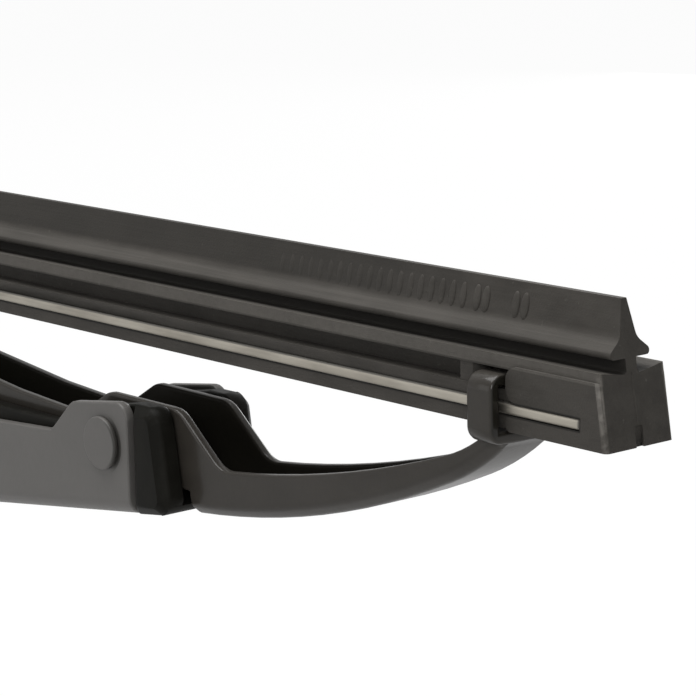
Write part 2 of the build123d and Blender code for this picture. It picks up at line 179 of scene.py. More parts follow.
class ShaderSheet:
    """The node tree of a material or of the world, written down in Python."""

    def __init__(self, owner: bpy.types.Material | bpy.types.World) -> None:
        """Empties the owner's tree, to be written anew."""
        self.owner = owner
        owner.use_nodes = True
        self.tree = owner.node_tree
        self.tree.nodes.clear()

    def node(
        self,
        kind: str,
        settings: dict[str, object] | None = None,
        inputs: dict[str | int, object] | None = None,
    ) -> bpy.types.Node:
        """Adds a node.

        Args:
            kind: Blender's name for the node's type.
            settings: the node's own properties, set before its sockets.
            inputs: values or links by the socket's identifier, name or place.

        Returns:
            The new node.
        """
        node = self.tree.nodes.new(kind)
        for key, value in (settings or {}).items():
            setattr(node, key, value)
        for key, value in (inputs or {}).items():
            target = self._find(node.inputs, key)
            if isinstance(value, Sock):
                self.tree.links.new(value.socket, target)
            else:
                target.default_value = value
        return node

    @staticmethod
    def _find(sockets: bpy.types.bpy_prop_collection, key: str | int) -> bpy.types.NodeSocket:
        """Finds a socket by place, identifier or name."""
        if isinstance(key, int):
            return sockets[key]
        return next((s for s in sockets if s.identifier == key), None) or sockets[key]

    def read(self, node: bpy.types.Node, output: str | int) -> Sock:
        """Wraps one of a node's outputs."""
        return Sock(self, self._find(node.outputs, output))

    def coordinate(self, output: str = "Object") -> Sock:
        """The piece's own coordinates, or its own normal."""
        return self.read(self.node("ShaderNodeTexCoord"), output)

    def noise(self, scale: Point, detail: float = 2.0, rough: float = 0.5, shift: float = 0.0) -> Sock:
        """A noise value in the piece's own frame.

        Args:
            scale: how many lumps to the metre along X, Y and Z.
            detail: octaves.
            rough: how strong the fine octaves are.
            shift: moves the pattern, so that two noises differ.

        Returns:
            The noise, around 0.5.
        """
        mapping = self.node(
            "ShaderNodeMapping",
            {"vector_type": "POINT"},
            {"Vector": self.coordinate(), "Scale": scale, "Location": (shift, shift, shift)},
        )
        noise = self.node(
            "ShaderNodeTexNoise",
            {"noise_dimensions": "3D"},
            {"Vector": self.read(mapping, 0), "Scale": 1.0, "Detail": detail, "Roughness": rough},
        )
        return self.read(noise, 0)

    def facing(self, axis: str) -> Sock:
        """How far the surface looks along one of the piece's own axes, from -1 to 1."""
        split = self.node("ShaderNodeSeparateXYZ", None, {0: self.coordinate("Normal")})
        return self.read(split, axis)

    def place(self, axis: str) -> Sock:
        """The distance along one of the piece's own axes, in metres."""
        split = self.node("ShaderNodeSeparateXYZ", None, {0: self.coordinate()})
        return self.read(split, axis)

    def mix(self, share: Sock, first: Sock | Colour, second: Sock | Colour) -> Sock:
        """Mixes two colours.

        Args:
            share: how much of the second colour there is.
            first: a colour or a link to one.
            second: a colour or a link to one.

        Returns:
            The mixed colour.
        """
        a, b = (c if isinstance(c, Sock) else (*c, 1.0) for c in (first, second))
        node = self.node(
            "ShaderNodeMix",
            {"data_type": "RGBA", "clamp_factor": True},
            {"Factor_Float": share, "A_Color": a, "B_Color": b},
        )
        return self.read(node, "Result_Color")

    def bump(self, height: Sock, depth: float, under: Sock | None = None) -> Sock:
        """Turns a height into a normal.

        Args:
            height: the height, in shares of the depth.
            depth: how deep the relief is, in metres.
            under: a normal that this relief lies on.

        Returns:
            The normal.
        """
        inputs: dict[str | int, object] = {"Height": height, "Distance": depth, "Strength": 1.0}
        if under is not None:
            inputs["Normal"] = under
        return self.read(self.node("ShaderNodeBump", None, inputs), 0)

    def surface(self, **inputs: object) -> bpy.types.Material:
        """Closes the tree with one Principled surface.

        Args:
            inputs: the shader's sockets, with _ for the spaces in their names.

        Returns:
            The finished material.
        """
        shader = self.node(
            "ShaderNodeBsdfPrincipled", None, {k.replace("_", " "): v for k, v in inputs.items()}
        )
        self.node("ShaderNodeOutputMaterial", None, {"Surface": self.read(shader, 0)})
        return self.owner


@dataclass(frozen=True)
class RubberFinish:
    """Matt dark grey rubber with a bloom, drawn marks along it, a little dust on top, a darker middle
    length of lip, paler corner lines on the end blocks, painted highlights on the neck's rims and
    painted shade beside the neck and along the rails' slots.
    """

    name: str = "strip_rubber"
    tone: Colour = (0.0250, 0.0226, 0.0194)
    bloom: Colour = (0.0375, 0.0342, 0.0300)
    dust: Colour = (0.12, 0.112, 0.10)
    # Tone painted over the lip's middle length.
    film: Colour = (0.015, 0.0138, 0.012)
    # Painted shade for the recess beside the neck and the rails' slots.
    dirt: Colour = (0.006, 0.0055, 0.0045)
    film_share: float = 0.60
    block_half: float = 3.5 * MM
    block_line: Span = (0.45 * MM, 0.08 * MM)
    end_line: Span = (0.55 * MM, 0.15 * MM)
    lip_foot: Span = (24.5 * MM, 25.0 * MM)
    darker_lip_ends: Span = (134 * MM, 150 * MM)
    rim_side: Span = (2.9 * MM, 3.2 * MM)
    rim_levels: Span = (21.35 * MM, 22.40 * MM)
    rim_soft: float = 0.06 * MM
    neck_levels: Span = (21.75 * MM, 23.0 * MM)
    neck_soft: float = 0.12 * MM
    neck_side: Span = (1.5 * MM, 2.4 * MM)
    slot_lip: Span = (0.52 * MM, 0.64 * MM)
    slot_side: Span = (3.1 * MM, 3.3 * MM)
    slot_end: Span = (162.22 * MM, 162.42 * MM)

    def _wiped(self, sheet: ShaderSheet) -> Sock:
        """Finds the lip over the middle of its length, fading out toward its ends."""
        lip = sheet.place("Z").smooth(*self.lip_foot)
        return lip * (1.0 - abs(sheet.place("X")).smooth(*self.darker_lip_ends))

    def _rims(self, sheet: ShaderSheet) -> Sock:
        """Finds the rims on both sides of the neck, where a highlight is painted."""
        side = abs(sheet.place("Y")).smooth(*self.rim_side)
        return side * sheet.place("Z").within(*self.rim_levels, self.rim_soft)

    def _pockets(self, sheet: ShaderSheet) -> Sock:
        """Finds where shade is painted: in the recess beside the neck, and on the lips of the rails'
        slots.

        Args:
            sheet: the material's sheet.

        Returns:
            One where shade is painted, zero elsewhere.
        """
        x, y, z = (sheet.place(axis) for axis in "XYZ")
        neck = z.within(*self.neck_levels, self.neck_soft)
        neck = neck * (1.0 - abs(y).smooth(*self.neck_side))
        neck = neck * (1.0 - abs(sheet.facing("X")).smooth(0.5, 0.8)) * 0.6
        slot = 1.0 - abs(z - RAIL_LEVEL).smooth(*self.slot_lip)
        slot = slot * abs(y).smooth(*self.slot_side)
        slot = slot * (1.0 - abs(x).smooth(*self.slot_end))
        return neck + slot * 0.9

    def _corners(self, sheet: ShaderSheet) -> Sock:
        """Finds the upright corners of the end blocks, which are painted as a paler line.

        Args:
            sheet: the material's sheet.

        Returns:
            One on the corners, zero elsewhere.
        """
        along = abs(sheet.place("X")) + math.tan(END_RAKE) * (sheet.place("Z") - STRIP_BASE)
        near_end = along.smooth(*(STRIP_END - inset for inset in self.end_line))
        side = abs(sheet.place("Y"))
        return near_end * side.smooth(*(self.block_half - inset for inset in self.block_line))

    def material(self) -> bpy.types.Material:
        """Makes the material."""
        sheet = ShaderSheet(bpy.data.materials.new(self.name))
        clouds = sheet.noise((170, 420, 420), 4.0, 0.6)
        drawn = sheet.noise((70, 2600, 2600), 3.0, 0.55, 3.1)
        grain = sheet.noise((5200, 5200, 5200), 2.0, 0.6)
        specks = sheet.noise((1500, 1500, 1500), 2.0, 0.5, 7.7)
        up = sheet.facing("Z")
        body = sheet.mix(clouds.smooth(0.32, 0.70), self.tone, self.bloom)
        body = sheet.mix(drawn.smooth(0.45, 0.75) * 0.35, body, self.bloom)
        resting = up.smooth(0.30, 0.95) * (0.14 + 0.14 * drawn.smooth(0.35, 0.70))
        body = sheet.mix(resting, body, self.dust)
        body = sheet.mix(specks.smooth(0.70, 0.78) * 0.20, body, self.dust)
        # A paler line painted along the end blocks' upright corners, in the dust colour.
        moulded = self._corners(sheet) * (0.15 + 0.55 * specks.smooth(0.35, 0.60))
        body = sheet.mix(moulded, body, self.dust)
        # The lip is painted darker over the middle of its length than near its ends.
        lip_darkening = self._wiped(sheet) * (self.film_share * (0.6 + 0.4 * clouds))
        body = sheet.mix(lip_darkening, body, self.film)
        # Painted highlight on the neck's rims, in the dust colour.
        body = sheet.mix(self._rims(sheet) * (0.18 + 0.20 * specks), body, self.dust)
        # Painted shade beside the neck and along the rails' slots.
        body = sheet.mix(self._pockets(sheet), body, self.dirt)
        lie = sheet.bump(drawn, 0.00003)
        return sheet.surface(
            Base_Color=body,
            Roughness=0.56 + 0.20 * clouds + 0.06 * grain,
            Specular_IOR_Level=0.18,
            Normal=sheet.bump(grain, 0.000022, lie),
        )


@dataclass(frozen=True)
class PaintFinish:
    """Paint on pressed steel: a fine peel, dust on top, rubbed marks, and painted shade inside the fold,
    on the claws' sides and beside the rivets' heads.
    """

    name: str
    tone: Colour
    worn: Colour
    inside: float
    gloss_rough: float = 0.38
    level: float = 0.40
    coat: float = 0.0
    dust: Colour = (0.20, 0.19, 0.175)
    # Painted shade, for inside the fold, the claws' sides and beside the rivets' heads.
    painted_shade: Colour = (0.009, 0.0083, 0.0063)
    pivot_x: float = 104.5 * MM
    pivot_z: float = 7.7 * MM
    claw_foot: Span = (15.6 * MM, 16.6 * MM)
    head_rim: Span = (2.15 * MM, 2.75 * MM)
    rim_soft: float = 0.6 * MM
    outer_half: Span = (0.6 * MM, 2.2 * MM)

    def _inside(self, sheet: ShaderSheet) -> Sock:
        """Finds the walls that look at each other across the fold, and the floor between them, where
        shade is painted.

        Args:
            sheet: the material's sheet.

        Returns:
            One inside the fold, zero outside.
        """
        y = sheet.place("Y")
        walls = (-(y * sheet.facing("Y"))).smooth(0.30 * self.inside, 0.80 * self.inside)
        between = 1.0 - abs(y).smooth(0.90 * self.inside, 0.98 * self.inside)
        return walls + between * sheet.facing("Z").smooth(-0.2, 0.3)

    def _packed(self, sheet: ShaderSheet) -> Sock:
        """Finds the claws' flat sides and the outer rims of the rivets' heads, where shade is painted.

        Args:
            sheet: the material's sheet.

        Returns:
            One where shade is painted, zero elsewhere.
        """
        claws = abs(sheet.facing("X")).smooth(0.55, 0.90) * sheet.place("Z").smooth(*self.claw_foot)
        out = abs(sheet.place("X")) - self.pivot_x
        up = sheet.place("Z") - self.pivot_z
        inner, outer = self.head_rim
        ring = (out * out + up * up).within(inner**2, outer**2, self.rim_soft**2)
        return claws + ring * out.smooth(*self.outer_half) * 0.8

    def material(self) -> bpy.types.Material:
        """Makes the material."""
        sheet = ShaderSheet(bpy.data.materials.new(self.name))
        clouds = sheet.noise((120, 260, 260), 3.0, 0.55)
        peel = sheet.noise((1300, 1300, 1300), 2.0, 0.45, 1.3)
        grain = sheet.noise((6000, 6000, 6000), 1.0, 0.5, 4.2)
        rubbed = sheet.noise((260, 2400, 1500), 3.0, 0.65, 8.8)
        up = sheet.facing("Z")
        marks = rubbed.smooth(0.66, 0.80) * clouds.smooth(0.42, 0.62)
        body = sheet.mix(clouds.smooth(0.3, 0.72) * 0.30, self.tone, self.worn)
        body = sheet.mix(marks * 0.55, body, self.worn)
        body = sheet.mix(up.smooth(0.45, 0.95) * 0.18 * grain, body, self.dust)
        # Painted shade inside the fold.
        body = sheet.mix(self._inside(sheet) * (0.78 + 0.20 * clouds), body, self.painted_shade)
        # Painted shade on the claws' sides and a painted shadow beside the rivets' heads.
        body = sheet.mix(self._packed(sheet) * 0.9, body, self.painted_shade)
        relief = sheet.bump(peel, 0.000014)
        return sheet.surface(
            Base_Color=body,
            Roughness=self.gloss_rough + 0.14 * clouds + 0.22 * marks,
            Specular_IOR_Level=self.level,
            Coat_Weight=self.coat * (1.0 - self._inside(sheet)),
            Coat_Roughness=0.16,
            Normal=sheet.bump(grain, 0.000006, relief),
        )


@dataclass(frozen=True)
class StainlessFinish:
    """Rolled stainless strip, satin along its length, with painted shade along its edges and ends where
    it lies in the rubber.
    """

    name: str = "rolled_stainless"
    unshaded_half: float = 0.30 * MM
    shaded_half: float = 0.41 * MM
    shaded_end: Span = (161.9 * MM, 162.15 * MM)
    dirt: Colour = (0.020, 0.018, 0.014)
    bright: Colour = (0.33, 0.308, 0.265)
    dull: Colour = (0.24, 0.222, 0.19)

    def material(self) -> bpy.types.Material:
        """Makes the material."""
        sheet = ShaderSheet(bpy.data.materials.new(self.name))
        rolled = sheet.noise((25, 9000, 9000), 3.0, 0.6)
        patches = sheet.noise((120, 500, 500), 3.0, 0.6, 2.9)
        body = sheet.mix(patches.smooth(0.35, 0.75), self.bright, self.dull)
        body = sheet.mix(rolled.smooth(0.55, 0.75) * 0.4, body, self.dull)
        # Painted shade along the rail's edges and ends where it lies in the rubber's slots, drawn as a
        # dark non-metal.
        edges = abs(sheet.place("Z") - RAIL_LEVEL).smooth(self.unshaded_half, self.shaded_half)
        edges = edges + abs(sheet.place("X")).smooth(*self.shaded_end) * (1.0 - edges)
        body = sheet.mix(edges * 0.92, body, self.dirt)
        return sheet.surface(
            Base_Color=body,
            Metallic=1.0 - edges,
            Roughness=0.34 + 0.20 * rolled + 0.10 * patches + 0.20 * edges,
            Normal=sheet.bump(rolled, 0.000012),
        )


@dataclass(frozen=True)
class MouldedFinish:
    """Black moulded plastic with a fine spark texture and faint flow marks."""

    name: str
    tone: Colour = (0.0050, 0.0048, 0.0038)
    flow: Colour = (0.0085, 0.0080, 0.0065)
    rough: float = 0.40
    level: float = 0.05

    def material(self) -> bpy.types.Material:
        """Makes the material."""
        sheet = ShaderSheet(bpy.data.materials.new(self.name))
        flow = sheet.noise((420, 160, 160), 3.0, 0.6)
        spark = sheet.noise((4200, 4200, 4200), 2.0, 0.5, 5.5)
        body = sheet.mix(flow.smooth(0.4, 0.7), self.tone, self.flow)
        return sheet.surface(
            Base_Color=body,
            Roughness=self.rough + 0.16 * flow,
            Specular_IOR_Level=self.level,
            Normal=sheet.bump(spark, 0.00001),
        )


@dataclass(frozen=True)
class PlatedFinish:
    """Zinc plating, softly mottled, with turned rings round its own axis."""

    name: str = "zinc_plate"
    bright: Colour = (0.60, 0.60, 0.58)
    dull: Colour = (0.38, 0.38, 0.37)

    def material(self) -> bpy.types.Material:
        """Makes the material."""
        sheet = ShaderSheet(bpy.data.materials.new(self.name))
        mottle = sheet.noise((900, 900, 900), 3.0, 0.6)
        rings = sheet.noise((60, 5000, 60), 2.0, 0.5, 6.1)
        body = sheet.mix(mottle.smooth(0.35, 0.7), self.bright, self.dull)
        return sheet.surface(
            Base_Color=body,
            Metallic=1.0,
            Roughness=0.30 + 0.16 * mottle + 0.08 * rings,
            Normal=sheet.bump(rings, 0.000008),
        )


class Workshop:
    """Mesh work that every sub-assembly uses."""

    FLAT = math.radians(0.4)
    SHARP = math.radians(28.0)
    SQUARE = math.radians(60.0)
    CRISP = math.radians(38.0)
    LEAST_ROOM = 2.2
    LEAST_WIDTH = 1e-7
    ON_PLANE = 1e-8

    @classmethod
    def welded(cls, node: str) -> bmesh.types.BMesh:
        """Copies a CAD node's mesh, joined up and with its flat faces whole.

        Args:
            node: the CAD node's name.

        Returns:
            The copy, as a bmesh.
        """
        bm = bmesh.new()
        bm.from_mesh(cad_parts[node].data)
        bmesh.ops.remove_doubles(bm, verts=bm.verts, dist=0.001 * MM)
        bmesh.ops.dissolve_limit(bm, angle_limit=cls.FLAT, verts=bm.verts, edges=bm.edges)
        return bm

    @classmethod
    def room(cls, edge: bmesh.types.BMEdge) -> float:
        """Measures how wide the faces beside an edge are, straight across from its middle.

        Args:
            edge: an edge of two faces.

        Returns:
            The smaller of the two widths, in metres.
        """
        middle = (edge.verts[0].co + edge.verts[1].co) / 2
        along = (edge.verts[1].co - edge.verts[0].co).normalized()
        widths = [math.inf]
        for loop in edge.link_loops:
            face = loop.face
            turned = along if loop.vert == edge.verts[0] else -along
            inward = face.normal.cross(turned)
            for other in face.edges:
                if other == edge:
                    continue
                start, end = (v.co - middle for v in other.verts)
                a, b = start.dot(along), end.dot(along)
                if a * b > 0.0 or a == b:
                    continue
                across = (start + (end - start) * (a / (a - b))).dot(inward)
                if across > cls.LEAST_WIDTH:
                    widths.append(across)
        return min(widths)

    @classmethod
    def soften(
        cls,
        bm: bmesh.types.BMesh,
        width: float,
        least_turn: float = SHARP,
        segments: int = 2,
        chosen: Callable[[bmesh.types.BMEdge], bool] = lambda edge: True,
    ) -> None:
        """Rounds every sharp outer edge that has room for it, as a real piece has it.

        Args:
            bm: the mesh to change.
            width: how far the rounding reaches on each side, in metres.
            least_turn: the angle from which an edge is rounded.
            segments: steps across it.
            chosen: says which edges may be rounded.
        """
        bm.normal_update()
        sharp = [
            e
            for e in bm.edges
            if len(e.link_faces) == 2
            and e.is_convex
            and e.calc_face_angle(0.0) > least_turn
            and chosen(e)
            and cls.room(e) > cls.LEAST_ROOM * width
        ]
        bmesh.ops.bevel(
            bm,
            geom=sharp,
            offset=width,
            offset_type="OFFSET",
            segments=segments,
            profile=0.5,
            affect="EDGES",
            clamp_overlap=False,
        )
        bmesh.ops.dissolve_degenerate(bm, dist=0.0005 * MM, edges=bm.edges)

    @classmethod
    def slice_along(cls, bm: bmesh.types.BMesh, stations: list[float]) -> None:
        """Cuts the mesh into short lengths along X.

        Args:
            bm: the mesh to change.
            stations: the cuts along X, in metres.
        """
        for x in stations:
            everything = [*bm.verts, *bm.edges, *bm.faces]
            bmesh.ops.bisect_plane(
                bm, geom=everything, dist=cls.ON_PLANE, plane_co=(x, 0, 0), plane_no=(1, 0, 0)
            )

    @classmethod
    def keep_half(cls, bm: bmesh.types.BMesh, side: Side) -> None:
        """Keeps one half of the mesh and closes it at the middle.

        Args:
            bm: the mesh to change.
            side: the half that stays.
        """
        everything = [*bm.verts, *bm.edges, *bm.faces]
        bmesh.ops.bisect_plane(
            bm,
            geom=everything,
            dist=cls.ON_PLANE,
            plane_co=(0, 0, 0),
            plane_no=(side.value, 0, 0),
            clear_inner=True,
        )
        rim = [e for e in bm.edges if e.is_boundary]
        cap = bmesh.ops.contextual_create(bm, geom=rim)["faces"]
        bmesh.ops.triangulate(bm, faces=cap)
        bmesh.ops.recalc_face_normals(bm, faces=bm.faces)

    @classmethod
    def piece(
        cls,
        name: str,
        bm: bmesh.types.BMesh,
        material: bpy.types.Material,
        crisp: float = CRISP,
    ) -> bpy.types.Object:
        """Turns a bmesh into a dressed object, smooth where it is round and flat where it is flat.

        Args:
            name: the object's name.
            bm: the mesh, which is freed.
            material: its finish.
            crisp: the angle from which an edge stays sharp.

        Returns:
            The object, in the scene.
        """
        mesh = bpy.data.meshes.new(name)
        bm.to_mesh(mesh)
        bm.free()
        mesh.shade_smooth()
        mesh.set_sharp_from_angle(angle=crisp)
        mesh.materials.append(material)
        obj = bpy.data.objects.new(name, mesh)
        bpy.context.scene.collection.objects.link(obj)
        weights = obj.modifiers.new("flat_faces", "WEIGHTED_NORMAL")
        weights.keep_sharp = True
        triangles = obj.modifiers.new("triangles", "TRIANGULATE")
        triangles.min_vertices = 5
        triangles.ngon_method = "CLIP"
        triangles.keep_custom_normals = True
        return cls.settle(obj)

    @staticmethod
    def settle(obj: bpy.types.Object) -> bpy.types.Object:
        """Turns what an object's modifiers give into its own plain mesh."""
        graph = bpy.context.evaluated_depsgraph_get()
        mesh = bpy.data.meshes.new_from_object(
            obj.evaluated_get(graph), preserve_all_data_layers=True, depsgraph=graph
        )
        mesh.name = obj.name
        obj.modifiers.clear()
        obj.data = mesh
        return obj

    @classmethod
    def shell(
        cls,
        node: str,
        width: float,
        material: bpy.types.Material,
        body: str,
        slot: str,
        least_turn: float = SHARP,
        crisp: float = CRISP,
        chosen: Callable[[bmesh.types.BMEdge], bool] = lambda edge: True,
    ) -> bpy.types.Object:
        """Makes the finished piece that stands for one rigid CAD node.

        Args:
            node: the CAD node.
            width: the rounding of its edges, in metres.
            material: its finish.
            body: the CAD body that it moves with.
            slot: not used.
            least_turn: the angle from which an edge is rounded.
            crisp: the angle from which an edge stays sharp.
            chosen: says which edges may be rounded.

        Returns:
            The piece.
        """
        bm = cls.welded(node)
        cls.soften(bm, width, least_turn, chosen=chosen)
        obj = cls.piece(f"{node}_piece", bm, material, crisp)
        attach(obj, body)
        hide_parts(node)
        log.info("%s: %d faces", obj.name, len(obj.data.polygons))
        return obj


class BarRow:
    """A Geometry Nodes tree that sets a row of low rounded bars, half sunk, on a flank."""

    INPUTS = (
        ("Count", "NodeSocketInt"),
        ("Step", "NodeSocketVector"),
        ("Width", "NodeSocketFloat"),
        ("Rise", "NodeSocketFloat"),
        ("Height", "NodeSocketFloat"),
        ("Lean", "NodeSocketFloat"),
        ("Start", "NodeSocketVector"),
        ("Finish", "NodeSocketMaterial"),
    )

    def __init__(self) -> None:
        """Builds the tree."""
        self.tree = bpy.data.node_groups.new("bar_row", "GeometryNodeTree")
        for name, kind in self.INPUTS:
            self.tree.interface.new_socket(name, in_out="INPUT", socket_type=kind)
        self.tree.interface.new_socket("Geometry", in_out="OUTPUT", socket_type="NodeSocketGeometry")
        sizes = self._node("NodeGroupInput")
        line = self._node(
            "GeometryNodeMeshLine",
            Count=sizes.outputs["Count"],
            Start_Location=sizes.outputs["Start"],
            Offset=sizes.outputs["Step"],
        )
        bar = self._node("GeometryNodeMeshUVSphere", Segments=14, Rings=9, Radius=1.0)
        size = self._node(
            "ShaderNodeCombineXYZ",
            X=sizes.outputs["Width"],
            Y=sizes.outputs["Rise"],
            Z=sizes.outputs["Height"],
        )
        lean = self._node("ShaderNodeCombineXYZ", X=sizes.outputs["Lean"])
        row = self._node(
            "GeometryNodeInstanceOnPoints",
            Points=line.outputs["Mesh"],
            Instance=bar.outputs["Mesh"],
            Rotation=lean.outputs[0],
            Scale=size.outputs[0],
        )
        real = self._node("GeometryNodeRealizeInstances", Geometry=row.outputs[0])
        dressed = self._node(
            "GeometryNodeSetMaterial", Geometry=real.outputs[0], Material=sizes.outputs["Finish"]
        )
        self._node("NodeGroupOutput", Geometry=dressed.outputs[0])

    def _node(self, kind: str, **inputs: object) -> bpy.types.Node:
        """Adds a node.

        Args:
            kind: Blender's name for the node's type.
            inputs: values or sockets, with _ for the spaces in their names.

        Returns:
            The new node.
        """
        node = self.tree.nodes.new(kind)
        for key, value in inputs.items():
            target = node.inputs[key.replace("_", " ")]
            if isinstance(value, bpy.types.NodeSocket):
                self.tree.links.new(value, target)
            else:
                target.default_value = value
        return node

    def make(self, name: str, **sizes: object) -> bpy.types.Object:
        """Makes one row as a plain mesh.

        Args:
            name: the object's name.
            sizes: the tree's inputs, by name.

        Returns:
            The row.
        """
        obj = bpy.data.objects.new(name, bpy.data.meshes.new(name))
        bpy.context.scene.collection.objects.link(obj)
        modifier = obj.modifiers.new("row", "NODES")
        modifier.node_group = self.tree
        for item in self.tree.interface.items_tree:
            if item.in_out == "INPUT":
                modifier[item.identifier] = sizes[item.name]
        obj.update_tag()
        bpy.context.view_layer.update()
        Workshop.settle(obj)
        obj.data.shade_smooth()
        return obj


@dataclass
class FlexLength:
    """Where the long flexible pieces are cut into short lengths: not in the middle, and at each step out
    toward the claws.
    """

    bend_start: float = 12.0 * MM
    bend_end: float = 56.0 * MM
    step: float = 2.0 * MM

    def stations(self) -> list[float]:
        """The cuts along X on both halves, in metres."""
        count = round((self.bend_end - self.bend_start) / self.step)
        cuts = [self.bend_start + i * self.step for i in range(count + 1)]
        return [x * side.value for side in Side for x in cuts]

    def hang(self, obj: bpy.types.Object, side: Side, node: str, slot: str) -> None:
        """Bakes one half's placement into its mesh and hides the CAD node that it stands for.

        Args:
            obj: the half.
            side: which half it is.
            node: the CAD node that it stands for.
            slot: not used.
        """
        side.yoke_body
        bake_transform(obj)
        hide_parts(node)
        log.info("%s: %d faces", obj.name, len(obj.data.polygons))


@dataclass
class WipingStrip:
    """The rubber strip in two halves, its moulded bars and the parting lines on its ends."""

    flex: FlexLength
    corner: float = 0.30 * MM
    corner_rise: float = 1.5 * MM
    corner_upright: float = 0.9
    corner_from: float = 162.0 * MM
    corner_side: float = 2.5 * MM
    corner_top: float = 22.5 * MM
    bar_count: int = 19
    bar_pitch: float = 1.24 * MM
    bar_width: float = 0.36 * MM
    bar_rise: float = 0.13 * MM
    bar_height: float = 1.06 * MM
    bar_sunk: float = 0.085 * MM
    bar_start: float = 124.4 * MM
    bar_share: float = 0.39
    marks: tuple[float, ...] = (148.3 * MM, 152.6 * MM)
    mark_width: float = 1.2
    mark_rise: float = 1.3
    mark_pitch: float = 0.8
    crease_half: float = 0.88 * MM
    crease_level: float = 24.41 * MM
    tip_half: float = 0.265 * MM
    tip_level: float = 27.31 * MM
    seam_from: float = 1.62 * MM
    seam_to: float = 5.50 * MM
    seam_half: float = 0.14 * MM
    crest_half: float = 0.056 * MM
    seam_rise: float = 0.07 * MM
    seam_root: float = -0.05 * MM
    pieces: list[bpy.types.Object] = field(default_factory=list)

    def build(self, finish: bpy.types.Material, raised: bpy.types.Material) -> None:
        """Makes the strip's pieces.

        Args:
            finish: the rubber.
            raised: the paler rubber for where it stands out.
        """
        for side in Side:
            bm = Workshop.welded("wiper_rubber")
            Workshop.soften(bm, self.corner, Workshop.SQUARE, 3, self._block_corner)
            Workshop.slice_along(bm, self.flex.stations())
            Workshop.keep_half(bm, side)
            half = Workshop.piece(f"rubber_{side.word}", bm, finish)
            self.flex.hang(half, side, "wiper_rubber", "rubber")
            seam = self._parting_line(side, finish)
            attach(seam, side.yoke_body)
            self.pieces += [half, seam]
        for row in self._bars(raised):
            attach(row, Side.RIGHT.yoke_body)
            self.pieces.append(row)

    def _block_corner(self, edge: bmesh.types.BMEdge) -> bool:
        """Tells the upright outer corners of the end blocks from the other edges.

        Args:
            edge: an edge of the strip.

        Returns:
            Whether it is such a corner.
        """
        low, high = sorted((v.co for v in edge.verts), key=lambda co: co.z)
        rise = high.z - low.z
        upright = rise > self.corner_upright * (high - low).length and rise > self.corner_rise
        at_end = min(abs(low.x), abs(high.x)) > self.corner_from
        return upright and at_end and abs(low.y) > self.corner_side and high.z < self.corner_top

    def _flank_point(self, share: float) -> tuple[float, float]:
        """Y and Z on the near flank of the lip, from its crease at 0 to its tip at 1."""
        y = self.crease_half + (self.tip_half - self.crease_half) * share
        z = self.crease_level + (self.tip_level - self.crease_level) * share
        return -y, z

    def _bars(self, finish: bpy.types.Material) -> list[bpy.types.Object]:
        """Makes the raised bars on the near flank.

        Args:
            finish: the rubber.

        Returns:
            The rows of bars.
        """
        y, z = self._flank_point(self.bar_share)
        run = self.crease_half - self.tip_half
        lean = -math.atan2(run, self.tip_level - self.crease_level)
        tree = BarRow()
        common = {"Lean": lean, "Finish": finish}
        rising = -self.bar_sunk / (self.bar_count - 1)
        rows = [
            tree.make(
                "moulded_bars",
                Count=self.bar_count,
                Width=self.bar_width,
                Rise=self.bar_rise,
                Height=self.bar_height,
                Start=(self.bar_start, y + self.bar_sunk, z),
                Step=(self.bar_pitch, rising, 0.0),
                **common,
            )
        ]
        for number, x in enumerate(self.marks, 1):
            rows.append(
                tree.make(
                    f"moulded_mark_{number}",
                    Count=2,
                    Width=self.mark_width * self.bar_width,
                    Rise=self.mark_rise * self.bar_rise,
                    Height=self.bar_height,
                    Start=(x, y, z),
                    Step=(self.mark_pitch * self.bar_pitch, 0.0, 0.0),
                    **common,
                )
            )
        return rows

    def _parting_line(self, side: Side, finish: bpy.types.Material) -> bpy.types.Object:
        """Makes the low ridge that the mould's halves leave on an end face.

        Args:
            side: which end.
            finish: the rubber.

        Returns:
            The ridge.
        """
        bm = bmesh.new()
        out = Vector((side.value * math.cos(END_RAKE), 0, math.sin(END_RAKE)))
        up = Vector((-side.value * math.sin(END_RAKE), 0, math.cos(END_RAKE)))
        foot = Vector((side.value * STRIP_END, 0, STRIP_BASE))
        rings = []
        for level in (self.seam_from, self.seam_to):
            middle = foot + up * level
            rings.append(
                [
                    bm.verts.new(middle + Vector((0, y, 0)) + out * rise)
                    for y, rise in (
                        (-self.seam_half, self.seam_root),
                        (-self.crest_half, self.seam_rise),
                        (self.crest_half, self.seam_rise),
                        (self.seam_half, self.seam_root),
                    )
                ]
            )
        for i in range(4):
            j = (i + 1) % 4
            bm.faces.new((rings[0][i], rings[0][j], rings[1][j], rings[1][i]))
        bm.faces.new(rings[0])
        bm.faces.new(reversed(rings[1]))
        bmesh.ops.recalc_face_normals(bm, faces=bm.faces)
        return Workshop.piece(f"parting_line_{side.word}", bm, finish)


@dataclass
class RailPair:
    """The two stainless rails, each in two halves."""

    flex: FlexLength
    edge: float = 0.16 * MM
    pieces: list[bpy.types.Object] = field(default_factory=list)

    def build(self, finish: bpy.types.Material) -> None:
        """Makes the rails.

        Args:
            finish: the stainless steel.
        """
        for flank in Flank:
            for side in Side:
                node = f"rail_{flank.word}"
                bm = Workshop.welded(node)
                Workshop.soften(bm, self.edge)
                Workshop.slice_along(bm, self.flex.stations())
                Workshop.keep_half(bm, side)
                half = Workshop.piece(f"{node}_{side.word}", bm, finish)
                self.flex.hang(half, side, node, "stainless")
                self.pieces.append(half)


@dataclass
class YokePair:
    """The two folded yokes with their claws."""

    edge: float = 0.28 * MM
    pieces: list[bpy.types.Object] = field(default_factory=list)

    def build(self, finish: bpy.types.Material) -> None:
        """Makes the yokes.

        Args:
            finish: the paint.
        """
        for side in Side:
            self.pieces.append(
                Workshop.shell(
                    f"yoke_{side.word}", self.edge, finish, side.yoke_body, "painted_steel"
                )
            )


